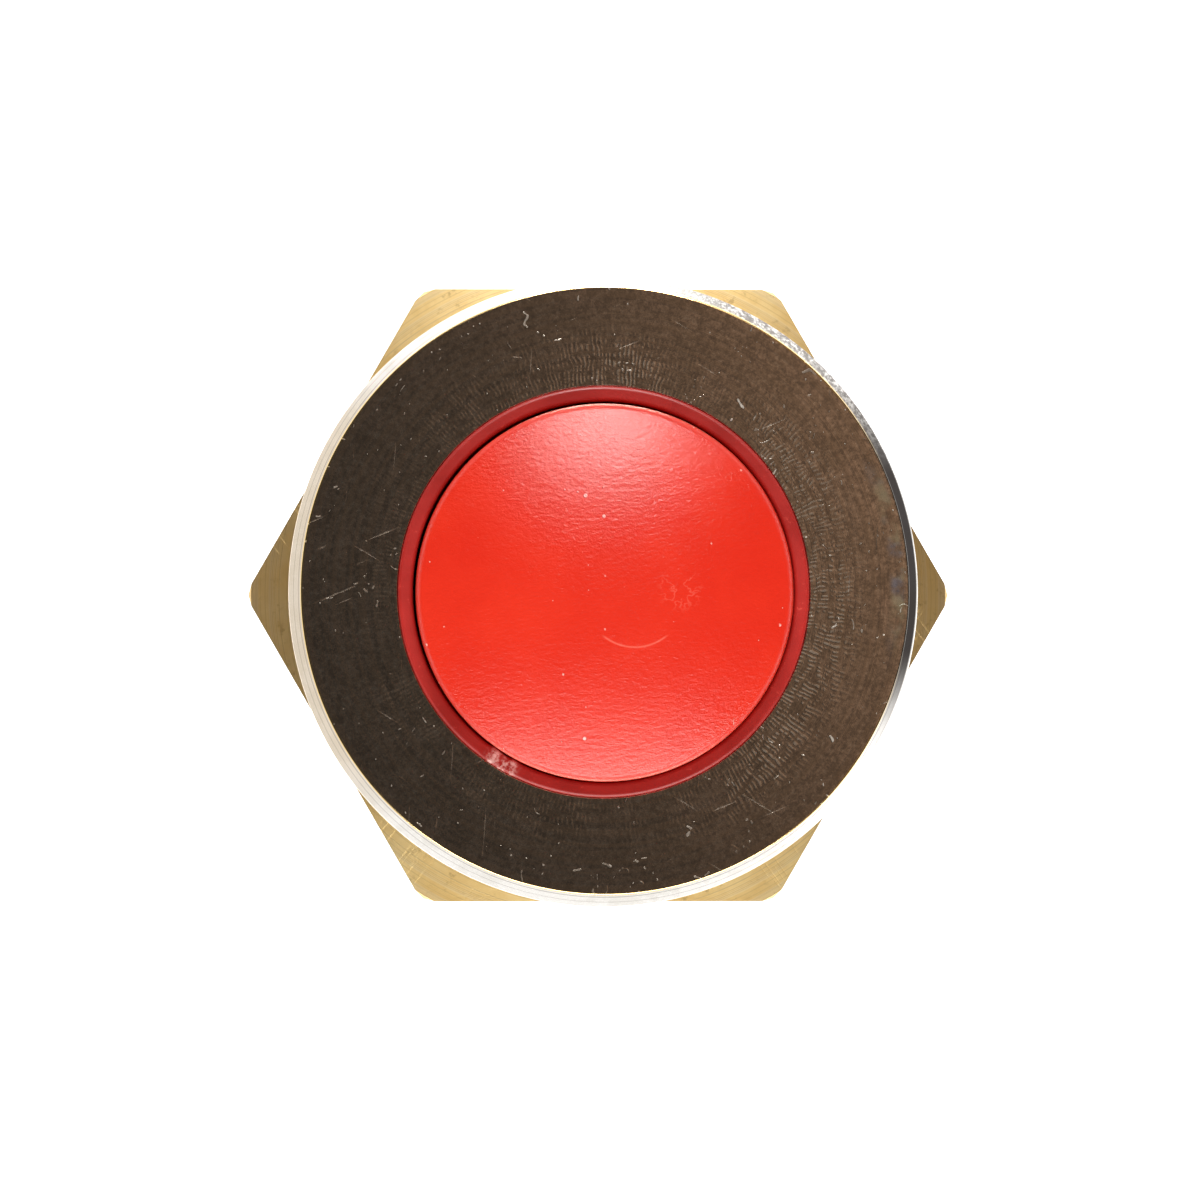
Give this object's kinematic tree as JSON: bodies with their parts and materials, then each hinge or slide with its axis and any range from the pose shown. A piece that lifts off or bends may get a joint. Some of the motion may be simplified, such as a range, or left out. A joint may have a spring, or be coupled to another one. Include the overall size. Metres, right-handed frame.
{
  "type": "panel push button",
  "caption": "Round momentary push button with a domed red cap in a plated flange, clamped through a panel by a brass hex nut.",
  "frame": {"origin": "on the button's axis, at the panel's front face, which is the gasket's underside", "axes": "+Z along the button's axis towards the user, +Y up in the picture, +X to its right; the nut's flats face +Y and -Y and the terminals stand at +X and -X"},
  "size_m": [0.0208, 0.018, 0.0291],
  "materials": {
    "nickel_plate": "turned, nickel plated",
    "raw_brass": "turned face, unplated",
    "stem_brass": "turned",
    "sleeve_red_plastic": "moulded, satin",
    "cap_red_plastic": "moulded, fine spark-eroded texture",
    "black_rubber": "matte",
    "seal_rubber": "smooth",
    "spring_steel": "drawn wire",
    "clip_steel": "oiled, dark",
    "bridge_copper": "pressed copper strip",
    "tinned_brass": "pressed strip, tin plated",
    "contact_silver": "silver alloy, fine turned",
    "housing_black_plastic": "moulded",
    "base_black_plastic": "moulded",
    "potting_resin": "cast resin, glossy"
  },
  "bodies": {
    "housing": {"bezel_bushing": "nickel_plate", "panel_gasket": "black_rubber", "guide_sleeve": "sleeve_red_plastic", "sleeve_gasket": "seal_rubber", "return_spring": "spring_steel", "fixed_tip_left": "contact_silver", "fixed_tip_right": "contact_silver", "fixed_contact_left": "tinned_brass", "fixed_contact_right": "tinned_brass", "contact_housing": "housing_black_plastic", "terminal_base": "base_black_plastic", "potting_seal": "potting_resin", "base_retaining_ring": "clip_steel"},
    "plunger": {"button_cap": "cap_red_plastic", "plunger_stem": "stem_brass", "stem_seal_ring": "seal_rubber", "stem_clip": "clip_steel", "bridge_clip": "clip_steel"},
    "bridge": {"contact_bridge": "bridge_copper", "bridge_tip_left": "contact_silver", "bridge_tip_right": "contact_silver", "contact_spring": "spring_steel"},
    "lock_nut": {"lock_nut": "raw_brass"}
  },
  "joints": [
    {"name": "button_press", "type": "slide", "parent": "housing", "child": "plunger", "axis": [0, 0, -1], "range_m": [0, 0.002], "stiffness_N_per_m": 500, "springref_m": -0.002, "deforming": ["return_spring"]},
    {"name": "bridge_overtravel", "type": "slide", "parent": "plunger", "child": "bridge", "axis": [0, 0, 1], "range_m": [0, 0.0005], "deforming": ["contact_spring"]},
    {"name": "nut_travel", "type": "slide", "parent": "housing", "child": "lock_nut", "axis": [0, 0, -1], "range_m": [-0.002, 0.008]}
  ],
  "couplings": [
    {"joint": "bridge_overtravel", "follows": "button_press", "ratio": 0.25}
  ]
}
